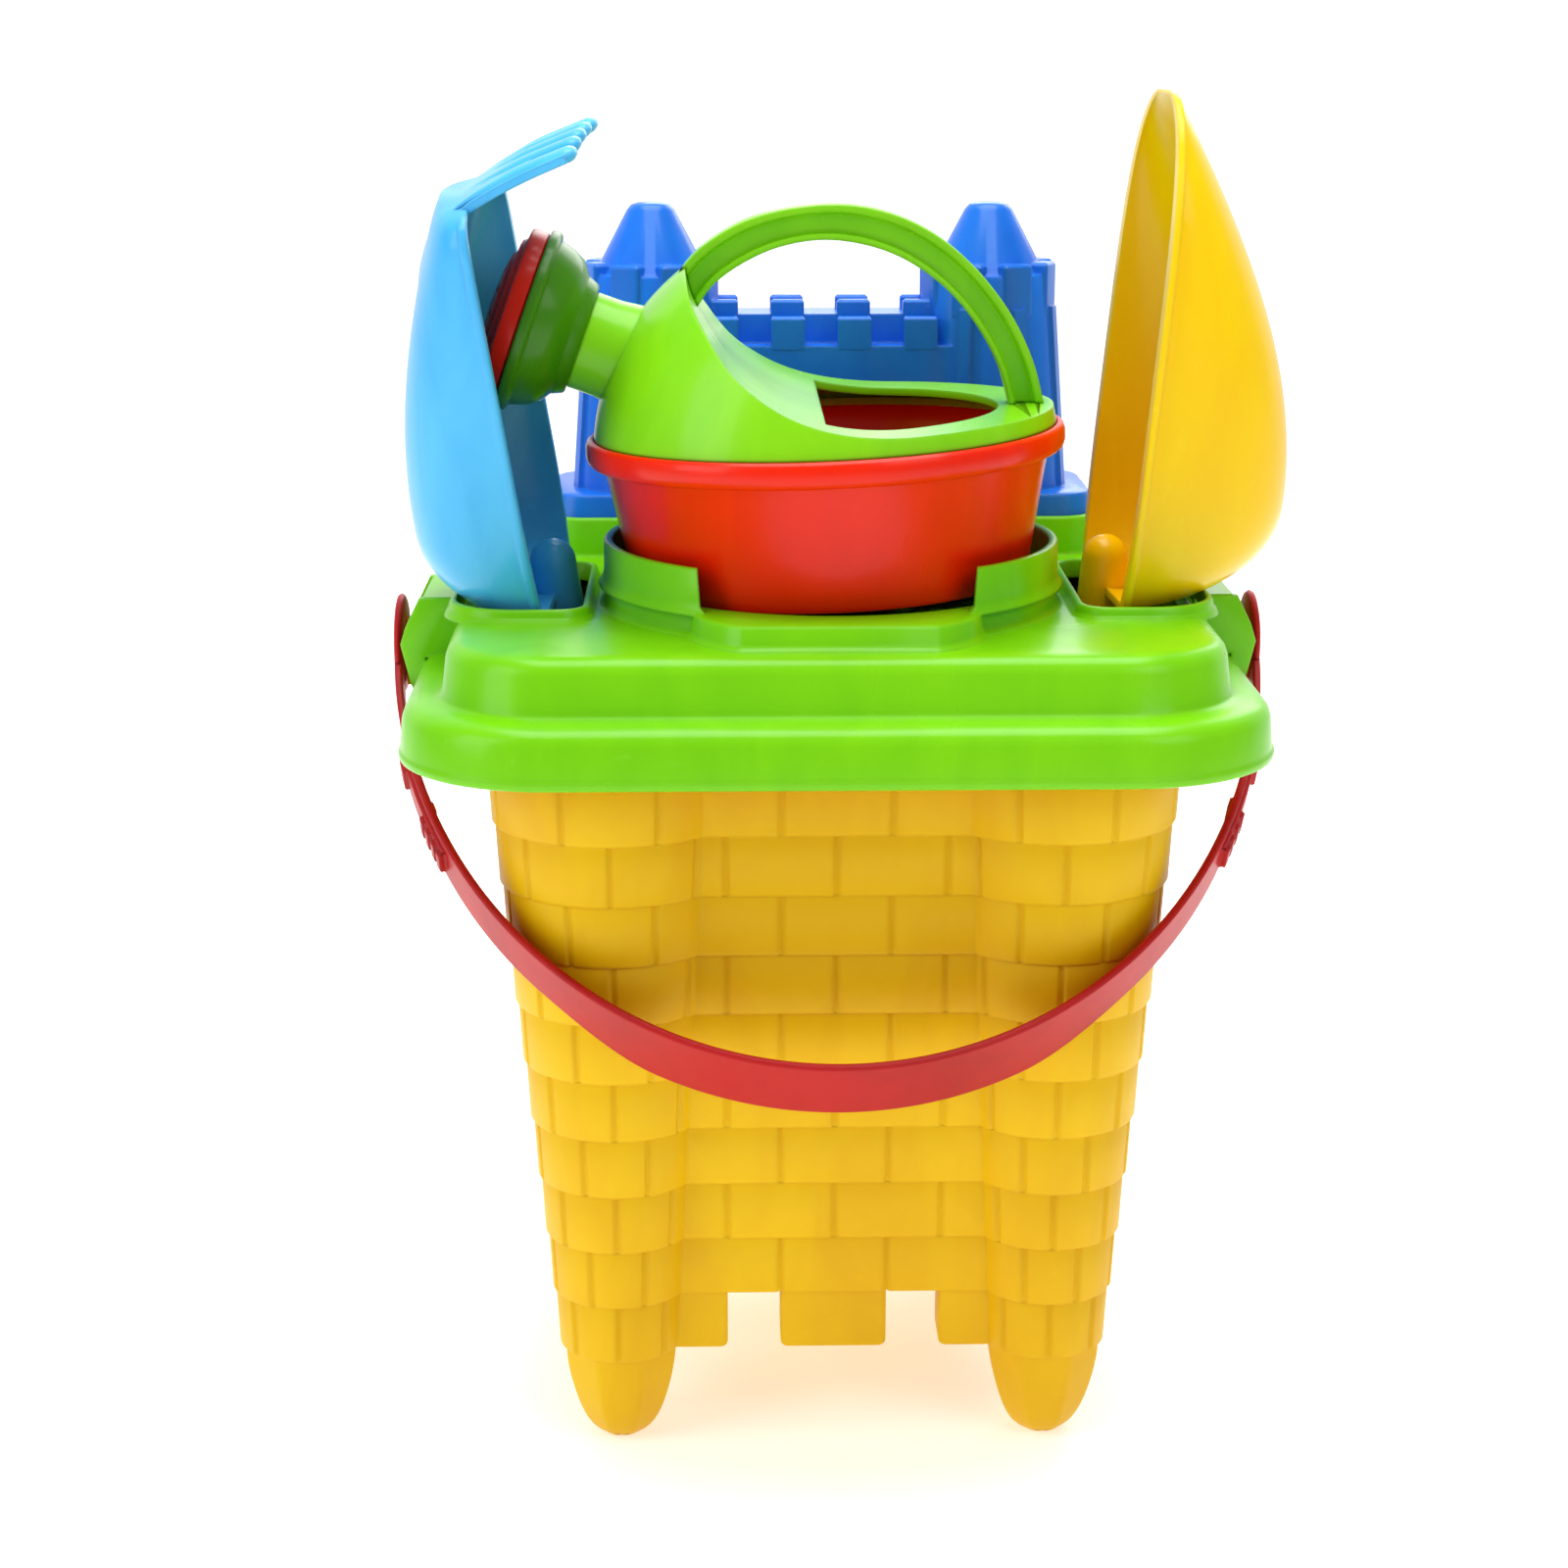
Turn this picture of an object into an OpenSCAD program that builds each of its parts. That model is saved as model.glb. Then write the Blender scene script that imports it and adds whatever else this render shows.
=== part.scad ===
// Castle sand bucket with a lid that carries a watering can, a rake, a shovel and a castle mould.
// +X is to the right, +Y to the back, +Z up. The origin is on the ground, under the middle of the set.

/* [Bucket] */
// Distance of each tower's axis from the middle, along X and along Y
tower_axis = 55; // [52:0.5:56]
// Radius of a tower at its top course of bricks
tower_r = 29.2; // [27:0.1:30]
// Height of one course of bricks
course_h = 15.69; // [15:0.01:15.7]
// How much smaller each course is than the one above it
course_step = 1.61; // [1.4:0.01:1.8]
// How far the walls stand back from the towers' fronts
wall_setback = 9.5; // [8:0.5:11]
// Height of the tower feet below the merlons
foot_h = 26; // [20:1:26]
// Width of one brick in the walls
brick_w = 27.26; // [25:0.01:28]
// Wall thickness of the bucket
bucket_wall = 2.2; // [1.8:0.1:2.6]

/* [Handle] */
// Height of the handle's pivots
pivot_z = 200; // [199:0.5:201]
// Half width of the strap at its pivots
strap_half_w = 112.5; // [112.4:0.1:113]
// Reach of the strap from the pivots to the middle of the grip
strap_reach = 135.5; // [132:0.5:138]
// Lean of the hanging strap, forward of straight down
strap_lean = 50.9; // [50.9:0.1:52]
// Width of the strap
strap_w = 15.5; // [14:0.5:15.5]
// How much wider the strap is along its middle, on its lower side
strap_more = 5; // [0:0.5:5]
// Thickness of the strap
strap_t = 2; // [1.8:0.1:2.4]

/* [Lid] */
// Half width of the skirt
skirt_half = 106.4; // [106:0.1:106.5]
// Height of the skirt's lower edge
skirt_z = 186.5; // [185:0.5:187]
// Half width of the lid's upper body
deck_half = 95.5; // [94:0.5:96]
// Height of the deck
deck_z = 215.5; // [215:0.5:216]
// Height of the can's seat
seat_z = 221.4; // [221:0.1:222]
// Wall thickness of the lid
lid_wall = 2; // [1.6:0.1:2.2]

/* [Toys] */
// Height of the watering can's bowl
bowl_h = 38.2; // [37:0.1:38.4]
// Lean of the can towards its spout
can_lean = 2.4; // [0:0.1:2.6]
// Length of the rake's and the shovel's handles
grip_len = 96; // [80:1:100]
// Height of the castle mould's roofs above its foot
mould_h = 88; // [80:1:90]

/* [Hidden] */
$fn = 72;
gap = 0.3;
tiny = 0.01;

// ---- helpers ----

// A rectangle with round corners
module round_rect(half_x, half_y, corner) {
  square([2 * half_x, 2 * (half_y - corner)], center = true);
  square([2 * (half_x - corner), 2 * half_y], center = true);
  for (sx = [-1, 1], sy = [-1, 1])
    translate([sx * (half_x - corner), sy * (half_y - corner)]) circle(r = corner);
}

// A flat plate of a round rectangle, from height z0 to height z1
module plate(half_x, half_y, corner, z0, z1) {
  translate([0, 0, z0]) linear_extrude(z1 - z0) round_rect(half_x, half_y, corner);
}

// A square block whose half width goes from low_half at z0 to high_half at z1
module taper_block(low_half, high_half, z0, z1) {
  side = [[-low_half, z0], [low_half, z0], [high_half, z1], [-high_half, z1]];
  intersection() {
    rotate([90, 0, 0]) linear_extrude(2 * high_half, center = true) polygon(side);
    rotate([90, 0, 90]) linear_extrude(2 * high_half, center = true) polygon(side);
  }
}

module on_four_towers() {
  for (sx = [-1, 1], sy = [-1, 1]) translate([sx * tower_axis, sy * tower_axis, 0]) children();
}

// ---- bucket ----

top_course = 9;
draft = 0.4;
rim_z = 199.4;
rim_plate = 2.4;
rim_half = 101.5;
ear_x = [107.2, 110.6];
ear_r = 6.3;
pin_r = 4;
pin_fit = 0.06;

function course_z(k) = foot_h + (k + 1) * course_h;
function course_r(k) = tower_r - (7 - k) * course_step;
function wall_half(k) = tower_axis + course_r(k) - wall_setback;

module tower_outside() {
  tip_r = 4;
  shoulder_r = 10.5;
  shoulder_z = 6;
  cylinder(r1 = tip_r, r2 = shoulder_r, h = shoulder_z);
  translate([0, 0, shoulder_z])
    cylinder(r1 = shoulder_r, r2 = course_r(-1) - 1, h = foot_h - shoulder_z);
  for (k = [-1:top_course])
    translate([0, 0, course_z(k)])
      cylinder(r1 = course_r(k) - draft, r2 = course_r(k) + draft, h = course_h);
}

module tower_inside() {
  low_r = course_r(-1) - draft - bucket_wall - 1;
  high_r = course_r(top_course) - bucket_wall;
  translate([0, 0, 3]) cylinder(r1 = 3, r2 = 8, h = 5);
  translate([0, 0, 8 - tiny]) cylinder(r1 = 8, r2 = low_r, h = foot_h - 8);
  translate([0, 0, foot_h - tiny]) cylinder(r1 = low_r, r2 = high_r, h = rim_z + 1 - foot_h);
}

module merlon_rows(depth, z0, z1, shrink) {
  half_wall = wall_half(-1) - draft;
  for (turn = [0, 90, 180, 270]) rotate([0, 0, turn]) {
    translate([-brick_w / 2 + shrink, -half_wall + shrink, z0])
      cube([brick_w - 2 * shrink, depth - 2 * shrink, z1 - z0]);
    for (side = [0, 1]) mirror([side, 0, 0])
      translate([brick_w + shrink, -half_wall + shrink, z0])
        cube([tower_axis - brick_w - shrink, depth - 2 * shrink, z1 - z0]);
  }
}

module bucket_ear() {
  translate([ear_x[0], 0, pivot_z]) rotate([0, 90, 0]) cylinder(r = ear_r, h = ear_x[1] - ear_x[0]);
  translate([ear_x[0], -ear_r, rim_z - 9.4]) cube([ear_x[1] - ear_x[0], 2 * ear_r, pivot_z - rim_z + 9.4]);
  translate([rim_half - 3, -ear_r, rim_z - 9.4]) cube([ear_x[1] - rim_half + 3, 2 * ear_r, 3]);
}

module bucket() color("gold") difference() {
  union() {
    on_four_towers() tower_outside();
    for (k = [0:top_course])
      taper_block(wall_half(k) - draft, wall_half(k) + draft, course_z(k), course_z(k + 1));
    merlon_rows(12, course_z(-1), course_z(0) + tiny, 0);
    plate(rim_half, rim_half, 34, rim_z - rim_plate, rim_z);
    difference() {
      plate(rim_half, rim_half, 34, rim_z - 9.4, rim_z);
      plate(rim_half - 2, rim_half - 2, 32, rim_z - 9.5, rim_z - rim_plate);
    }
    for (side = [0, 1]) mirror([side, 0, 0]) bucket_ear();
  }
  on_four_towers() tower_inside();
  taper_block(
    wall_half(0) - draft - bucket_wall, wall_half(top_course) + draft - bucket_wall,
    course_z(0) + bucket_wall, rim_z + 1
  );
  merlon_rows(12, course_z(-1) + bucket_wall, course_z(0) + bucket_wall + tiny, bucket_wall);
  for (side = [-1, 1]) translate([side * ear_x[0] - 5, 0, pivot_z]) rotate([0, 90, 0])
    cylinder(r = pin_r + pin_fit, h = 10);
}

// ---- handle ----

disc_r = 13;
disc_x = [111, 113.6];
lap_t = 1;
barb_r = 4.6;
barb_t = 0.9;

// Points of the strap's ellipse, moved out by offset; the strap hangs along -Y before it is leaned
function strap_arc(offset) = [
  for (step = [0:60]) let (a = step * 3)
    [(strap_half_w + offset) * cos(a), -(strap_reach + offset) * sin(a)]
];

// The strap's edges along X, wider in the middle on the lower side
module strap_widths() {
  half_w = strap_w / 2;
  end_x = strap_half_w + 5;
  wide_x = 52;
  narrow_x = 66;
  polygon([
    [-end_x, half_w], [-end_x, -half_w], [-narrow_x, -half_w], [-wide_x, -half_w - strap_more],
    [wide_x, -half_w - strap_more], [narrow_x, -half_w], [end_x, -half_w], [end_x, half_w]
  ]);
}

// The strap's outer lap, between two angles of the ellipse
module strap_lap(first, last) polygon(concat(
  [for (a = [first:last]) [strap_half_w * cos(a), -strap_reach * sin(a)]],
  [for (a = [last:-1:first])
    [(strap_half_w + strap_t / 2 + lap_t) * cos(a), -(strap_reach + strap_t / 2 + lap_t) * sin(a)]]
));

module handle() color("crimson") difference() {
  translate([0, 0, pivot_z]) {
    rotate([90 - strap_lean, 0, 0]) {
      intersection() {
        linear_extrude(2 * strap_w + 2 * strap_more, center = true) polygon(concat(
          strap_arc(-strap_t / 2),
          [for (p = [60:-1:0]) strap_arc(strap_t / 2)[p]]
        ));
        rotate([90, 0, 0]) linear_extrude(2 * strap_reach) strap_widths();
      }
      for (side = [0, 1]) mirror([side, 0, 0])
        linear_extrude(strap_w - 5, center = true) strap_lap(17, 31);
    }
    for (side = [0, 1]) mirror([side, 0, 0]) rotate([0, 90, 0]) {
      translate([0, 0, disc_x[0]]) cylinder(r = disc_r, h = disc_x[1] - disc_x[0]);
      translate([0, 0, ear_x[0] - gap]) cylinder(r = pin_r, h = disc_x[1] - ear_x[0] + gap);
      translate([0, 0, ear_x[0] - gap - barb_t]) cylinder(r1 = pin_r, r2 = barb_r, h = barb_t);
    }
  }
  for (side = [-1, 1])
    translate([side * (disc_x[1] + 5) - 5, -20, pivot_z - 20]) cube([10, 40, 40]);
}

// ---- lid ----

can_y = -22;
collar_r = [55.4, 57.8];
well_r = 51.2;
well_z = 219.2;
collar_top = 232;
notch_half = 33;
pocket_x = [62.5, 94.4];
pocket_y = [-49, 17];
pocket_lip = 3;
stage_y = 67;
stage_half = [78.4, 26.4];
stage_z = 226;
sieve_r = 2.2;
sieve_pitch = 8.5;

// The can's seat with its flat front step
module seat_shape(inset) {
  translate([0, can_y]) circle(r = collar_r[1] - inset);
  polygon([
    [-41 + inset, can_y - 40], [-23 + inset, -86.5 + inset], [23 - inset, -86.5 + inset], [41 - inset, can_y - 40]
  ]);
}

module pocket_shape(inset) {
  middle = [(pocket_x[0] + pocket_x[1]) / 2, (pocket_y[0] + pocket_y[1]) / 2];
  for (side = [0, 1]) mirror([side, 0, 0]) translate(middle) round_rect(
    (pocket_x[1] - pocket_x[0]) / 2 - inset, (pocket_y[1] - pocket_y[0]) / 2 - inset, 12 - inset
  );
}

module stage_shape(inset) {
  translate([0, stage_y]) round_rect(stage_half[0] - inset, stage_half[1] - inset, 13 - inset);
}

// Side webs that shield the handle's ear, and the roof between them
module ear_guard() {
  web = [[94, 215.5], [104.8, 215.5], [110.9, 203], [109.3, 193], [106, skirt_z], [104.4, skirt_z], [104.4, 199.6], [94, 200]];
  for (y = [-17.5, 14.5]) translate([0, y + 3, 0]) rotate([90, 0, 0]) linear_extrude(3) polygon(web);
  translate([94, -17.5, deck_z - lid_wall]) cube([10.8, 35, lid_wall]);
}

module lid() color("yellowgreen") difference() {
  union() {
    difference() {
      union() {
        plate(skirt_half, skirt_half, 38, skirt_z, rim_z + 2);
        plate(deck_half, deck_half, 28, rim_z + 2 - tiny, deck_z);
        translate([0, 0, deck_z - tiny]) linear_extrude(seat_z - deck_z) seat_shape(0);
        translate([0, 0, deck_z - tiny]) linear_extrude(stage_z - deck_z) stage_shape(0);
      }
      plate(skirt_half - 2.4, skirt_half - 2.4, 35.6, skirt_z - 1, rim_z + 0.1);
      plate(deck_half - lid_wall, deck_half - lid_wall, 26, rim_z, deck_z - lid_wall);
      difference() {
        translate([0, 0, deck_z - lid_wall - 1]) linear_extrude(seat_z - deck_z + 1) seat_shape(lid_wall);
        translate([0, can_y, well_z - lid_wall]) cylinder(r = well_r + lid_wall, h = 10);
      }
      translate([0, can_y, well_z]) cylinder(r = well_r, h = 10);
      translate([0, 0, deck_z - lid_wall - 1]) linear_extrude(stage_z - deck_z + 1 - 4) stage_shape(lid_wall);
      translate([0, 0, stage_z - 4]) linear_extrude(5) stage_shape(lid_wall);
    }
    translate([0, 0, seat_z - tiny]) linear_extrude(collar_top - seat_z) difference() {
      translate([0, can_y]) circle(r = collar_r[1]);
      translate([0, can_y]) circle(r = collar_r[0]);
      translate([-notch_half, can_y - 65]) square([2 * notch_half, 60]);
    }
    translate([0, 0, deck_z - tiny]) linear_extrude(pocket_lip) pocket_shape(-1.8);
    for (side = [0, 1]) mirror([side, 0, 0]) ear_guard();
  }
  translate([0, 0, deck_z - lid_wall - 1]) linear_extrude(10) pocket_shape(0);
  for (i = [-5:5], j = [-5:5]) if (norm([i, j]) < 5.2)
    translate([i * sieve_pitch, can_y + j * sieve_pitch, deck_z]) cylinder(r = sieve_r, h = 10);
  for (side = [0, 1]) mirror([side, 0, 0]) {
    translate([100, -13, skirt_z - 1]) cube([8, 26, rim_z - 5 - skirt_z]);
    translate([105.2, -7, skirt_z - 1]) cube([3, 14, 22]);
  }
}

// ---- watering can ----

bowl_foot_r = 50;
bowl_top_r = 57;
band_r = 60.5;
band_h = 6.5;
plastic = 1.9;
dome_r = 58.7;
dome_drop = 6.5;
spout_rise = 22.1;
spout_root = [-43.6, 18.2];
spout_neck = 17.5;
spout_r = 12;
arch_w = 9;

// Moves the can from its own frame, whose origin is the middle of its foot, onto its seat
module on_seat() translate([0, can_y, well_z + 0.1 + bowl_foot_r * sin(can_lean)]) rotate([0, -can_lean, 0]) children();

module on_spout() translate([spout_root[0], 0, bowl_h + spout_root[1]]) rotate([0, spout_rise - 90, 0]) children();

module can_bowl() color("orangered") on_seat() rotate_extrude() polygon([
  [0, 0], [bowl_foot_r, 0], [bowl_top_r - 0.5, bowl_h - band_h], [band_r - 1, bowl_h - band_h],
  [band_r, bowl_h - band_h + 2], [band_r, bowl_h - 1], [band_r - 1, bowl_h],
  [bowl_top_r + 1.4, bowl_h], [bowl_top_r - 2, bowl_h - band_h], [bowl_foot_r - plastic, plastic], [0, plastic]
]);

// Side view of the hood: the height of its cut top along X
hood_cut = [
  [-33.5, 45], [-32.2, 36], [-28.5, 28.5], [-23, 20], [-16, 13.8], [-8, 9.2], [2, 6], [14, 4.4], [30, 4.2], [60, 4.2]
];

module hood_side(drop) polygon(concat(
  [[-70, -1], [-70, 46 - drop]], [for (p = hood_cut) p - [drop * 0.6, drop]], [[60, -1]]
));

module dome(inset, drop) intersection() {
  translate([0, 0, -dome_drop]) sphere(r = dome_r - inset, $fn = 96);
  rotate([90, 0, 0]) linear_extrude(130, center = true) hood_side(drop);
}

arch_outer = [
  [-37, 38], [-29, 46.5], [-16, 53.2], [0, 55.6], [14, 54.2], [27, 48.6], [38, 39.5], [47, 27.5], [52.5, 15.5], [55, 5], [55.5, 0]
];
arch_inner = [
  [46.8, 0], [46.4, 5], [43.6, 15], [37.5, 26], [29.8, 34.8], [20, 41.6], [9, 45.4], [-2, 46.2], [-14, 43.6], [-26, 36.5], [-33, 28]
];

module can_cover() color("limegreen") on_seat() difference() {
  union() {
    translate([0, 0, bowl_h]) intersection() {
      difference() {
        dome(0, 0);
        dome(plastic, plastic);
      }
      translate([-80, -80, 0.1]) cube(160);
    }
    translate([0, 0, bowl_h - 5]) difference() {
      cylinder(r1 = 55.3, r2 = 57.4, h = 5.3);
      translate([0, 0, -1]) cylinder(r = 54, h = 8);
    }
    difference() {
      on_spout() translate([0, 0, -6]) cylinder(r = spout_r, h = spout_neck + 6 + 5);
      translate([0, 0, bowl_h]) dome(plastic, plastic);
    }
    translate([0, 0, bowl_h]) rotate([90, 0, 0]) difference() {
      linear_extrude(arch_w, center = true) polygon(concat(arch_outer, arch_inner));
      for (face = [0, 1]) mirror([0, 0, face]) translate([0, 0, 1]) linear_extrude(arch_w)
        polygon(concat([for (p = arch_outer) p * 0.955], [for (p = arch_inner) p * 1.05]));
      translate([0, 0, -20]) linear_extrude(40) intersection() {
        hood_side(plastic);
        translate([0, -dome_drop]) circle(r = dome_r - plastic);
      }
    }
  }
  on_spout() translate([0, 0, -20]) cylinder(r = spout_r - plastic, h = 60);
  translate([0, 0, bowl_h]) intersection() {
    cylinder(r = 44, h = 20);
    translate([-1, -60, 0]) cube([60, 120, 20]);
  }
}

bell_len = 15.5;
ring_r = 23.2;

module rose_bell() color("forestgreen") on_seat() on_spout() translate([0, 0, spout_neck])
  rotate_extrude() polygon([
    [spout_r + 0.05, 0], [spout_r + 2, 0], [spout_r + 5.5, 4], [19, 9.5], [21.6, bell_len - 3],
    [ring_r, bell_len - 2.4], [ring_r, bell_len], [20, bell_len], [20, bell_len - 2.1], [18.5, bell_len - 3.2],
    [17, 9.8], [spout_r + 1.8, 6], [spout_r + 0.05, 5.8]
  ]);

module rose_cap() color("red") on_seat() on_spout() translate([0, 0, spout_neck + bell_len]) difference() {
  rotate_extrude() polygon([
    [0, 9], [9, 8.4], [14.3, 7.2], [14.8, 6.5], [18.3, 6.1], [18.7, 5.2], [21.6, 4.8], [22, 4], [22, 0.05],
    [19.9, 0.05], [19.9, -2], [18, -2], [18, 1.4], [13.5, 3.4], [8, 5.2], [0, 6]
  ]);
  for (ring = [[0, 1], [6, 6], [12, 12]], i = [1:ring[1]])
    rotate([0, 0, i * 360 / ring[1]]) translate([ring[0], 0, -5]) cylinder(r = 1, h = 15);
}

// ---- scoops ----

heel_reach = 0.22;

// Half width and depth of a scoop at u, from 0 at its heel to 1 at its tip
function heel_curve(u, reach) = u >= reach ? 1 : sqrt(1 - pow(1 - u / reach, 2));
function scoop_depth(u, deep, open) =
  deep * (0.08 + 0.92 * heel_curve(u, heel_reach)) * cos(max(0, u - heel_reach) / (1 - heel_reach) * open);
function scoop_half(u, wide, heel, blunt) =
  (wide * heel + wide * (1 - heel) * heel_curve(u, 0.3)) * sqrt(max(0, 1 - pow(u * 0.995, blunt)));

// One ring of a scoop at u: a U that opens towards +X, its rims on the plane x = 0
function scoop_ring(half, deep, z, sides) = [
  for (j = [0:sides]) let (a = 90 - 180 * j / sides)
    [-deep * pow(cos(a), 0.9), half * sign(sin(a)) * pow(abs(sin(a)), 0.9), z]
];

module scoop_shell(len, wide, deep, heel, open, blunt, wall) {
  rings = 20;
  sides = 18;
  row = sides + 1;
  outer = [for (i = [0:rings]) let (u = i / rings)
    each scoop_ring(scoop_half(u, wide, heel, blunt), scoop_depth(u, deep, open), u * len, sides)];
  inner = [for (i = [0:rings]) let (z = wall + i / rings * (len - 2 * wall), u = z / len)
    each scoop_ring(
      scoop_half(u, wide, heel, blunt) - wall, max(0.6, scoop_depth(u, deep, open) - wall), z, sides
    )];
  first_inner = len(outer);
  function at(i, j) = i * row + j;
  function in_at(i, j) = first_inner + i * row + j;
  polyhedron(concat(outer, inner), concat(
    [for (i = [0:rings - 1], j = [0:sides - 1]) each [
      [at(i, j), at(i + 1, j), at(i + 1, j + 1)], [at(i, j), at(i + 1, j + 1), at(i, j + 1)],
      [in_at(i, j), in_at(i + 1, j + 1), in_at(i + 1, j)], [in_at(i, j), in_at(i, j + 1), in_at(i + 1, j + 1)]
    ]],
    [for (i = [0:rings - 1]) each [
      [at(i, 0), in_at(i, 0), in_at(i + 1, 0), at(i + 1, 0)],
      [at(i, sides), at(i + 1, sides), in_at(i + 1, sides), in_at(i, sides)]
    ]],
    [
      [for (j = [0:sides]) at(0, j)], [for (j = [sides:-1:0]) in_at(0, j)],
      [for (j = [sides:-1:0]) at(rings, j)], [for (j = [0:sides]) in_at(rings, j)],
      [at(0, sides), in_at(0, sides), in_at(0, 0), at(0, 0)],
      [at(rings, 0), in_at(rings, 0), in_at(rings, sides), at(rings, sides)]
    ]
  ));
}

grip_r = 6;

// A round-ended grip that runs down from the heel, with its root inside the scoop
module grip() {
  root_h = 9;
  translate([0, 0, -grip_len + grip_r]) cylinder(r = grip_r, h = grip_len - grip_r + root_h);
  for (z = [-grip_len + grip_r, root_h]) translate([0, 0, z]) sphere(r = grip_r);
}

rake_at = [-69.7, -17, 216];
rake_turn = [7, -8.3, -5.5];
rake_len = 106;
tine_pitch = 11.2;
tine_gap = 5;

module rake() color("deepskyblue") translate(rake_at) rotate(rake_turn) {
  scoop_shell(rake_len, 33, 32.5, 0.74, 72, 40, 2);
  grip();
  translate([-10.5, 0, rake_len - 1.6]) rotate([0, 74, 0]) translate([-1, 0, 0]) rotate([90, 0, 90])
    linear_extrude(2.2) difference() {
      polygon([[-19, 0], [19, 0], [24, 9], [27, 22], [26, 37], [-26, 37], [-27, 22], [-24, 9]]);
      for (slot = [-1.5:1.5]) translate([slot * tine_pitch - tine_gap / 2, 29]) square([tine_gap, 10]);
    }
}

shovel_at = [70.2, -17, 216.2];
shovel_turn = [0, 5.6, 3.5];
shovel_len = 127;

module shovel() color("gold") translate(shovel_at) rotate(shovel_turn) mirror([1, 0, 0]) {
  scoop_shell(shovel_len, 32, 43.4, 0.76, 88, 7, 2);
  grip();
}

// ---- castle mould ----

mould_foot = [76, 24];
mould_tower_x = 46.9;
roof_r = 15.7;
tower_top = 69;

// A round tower and its roof, or the hollow in it
module mould_tower(inset) {
  base_z = inset > 0 ? -1 : 0;
  rotate_extrude() polygon([
    [0, base_z], [23.2 - inset, base_z], [18 - inset, tower_top - inset], [roof_r - inset, tower_top - inset],
    [5.5 - inset, mould_h - inset], [0, mould_h - inset]
  ]);
}

module castle_mould() color("royalblue") translate([0, stage_y, stage_z - 4 + 0.1]) difference() {
  union() {
    plate(mould_foot[0], mould_foot[1], 11, 0, 10);
    for (sx = [-1, 1]) translate([sx * mould_tower_x, 0, 0]) mould_tower(0);
    translate([-mould_tower_x, -17, 0]) cube([2 * mould_tower_x, 34, 48]);
    translate([-mould_tower_x, -9, 0]) cube([2 * mould_tower_x, 18, 58]);
  }
  plate(mould_foot[0] - 2, mould_foot[1] - 2, 9, -1, 8);
  for (sx = [-1, 1]) translate([sx * mould_tower_x, 0, 0]) mould_tower(2);
  translate([-mould_tower_x, -15, -1]) cube([2 * mould_tower_x, 30, 47]);
  translate([-mould_tower_x, -7, -1]) cube([2 * mould_tower_x, 14, 57]);
}

bucket();
handle();
lid();
can_bowl();
can_cover();
rose_bell();
rose_cap();
rake();
shovel();
castle_mould();
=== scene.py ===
from math import atan2, cos, hypot, pi, radians, sin, sqrt

import bpy
from mathutils import Euler, Matrix, Vector


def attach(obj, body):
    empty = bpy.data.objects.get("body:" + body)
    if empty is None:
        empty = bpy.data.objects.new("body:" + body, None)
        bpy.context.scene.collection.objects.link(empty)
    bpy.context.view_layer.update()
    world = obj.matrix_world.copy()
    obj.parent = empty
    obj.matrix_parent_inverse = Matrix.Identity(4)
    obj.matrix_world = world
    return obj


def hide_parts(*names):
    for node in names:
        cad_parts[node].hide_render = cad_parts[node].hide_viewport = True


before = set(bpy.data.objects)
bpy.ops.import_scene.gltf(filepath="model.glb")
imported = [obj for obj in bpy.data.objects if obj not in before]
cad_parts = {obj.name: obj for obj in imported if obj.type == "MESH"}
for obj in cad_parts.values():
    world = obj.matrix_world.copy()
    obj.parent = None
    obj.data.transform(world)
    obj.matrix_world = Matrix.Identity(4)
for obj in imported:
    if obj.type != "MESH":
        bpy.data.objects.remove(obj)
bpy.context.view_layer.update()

MM = 0.001

# ---- forms: every piece is made of closed forms, in millimetres ----


def loft(rings, loop=False):
    """A closed form through rings of equal count, each counter-clockwise seen from the next one's side."""
    count = len(rings[0])
    points = [tuple(p) for ring in rings for p in ring]
    faces = []
    for k in range(len(rings) - (0 if loop else 1)):
        low, high = k * count, (k + 1) % len(rings) * count
        for i in range(count):
            j = (i + 1) % count
            faces.append((low + i, low + j, high + j, high + i))
    if not loop:
        last = (len(rings) - 1) * count
        faces.append(tuple(range(count - 1, -1, -1)))
        faces.append(tuple(range(last, last + count)))
    return points, faces


def circle(radius, z=0.0, count=72, middle=(0.0, 0.0)):
    return [(middle[0] + radius * cos(2 * pi * i / count), middle[1] + radius * sin(2 * pi * i / count), z)
            for i in range(count)]


def turned(profile, count=96, middle=(0.0, 0.0)):
    """A form turned on Z from (radius, z) points, from the axis outside to the axis inside."""
    return loft([circle(max(r, 0.02), z, count, middle) for r, z in profile])


def turned_ring(profile, count, middle=(0.0, 0.0)):
    """A ring turned on Z from a closed (radius, z) outline."""
    return loft([circle(r, z, count, middle) for r, z in profile], loop=True)


def round_square(half_x, half_y, corner, z, steps=10, middle=(0.0, 0.0)):
    corner = max(corner, 0.05)
    points = []
    for quarter, (sx, sy) in enumerate(((1, 1), (-1, 1), (-1, -1), (1, -1))):
        for i in range(steps + 1):
            a = (quarter + i / steps) * pi / 2
            points.append((middle[0] + sx * (half_x - corner) + corner * cos(a),
                           middle[1] + sy * (half_y - corner) + corner * sin(a), z))
    return points


def block(half_x, half_y, corner, rows, middle=(0.0, 0.0), steps=10):
    """A round-cornered block through (z, inset) rows."""
    return loft([round_square(half_x - inset, half_y - inset, max(corner - inset, 0.4), z, steps, middle)
                 for z, inset in rows])


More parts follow.
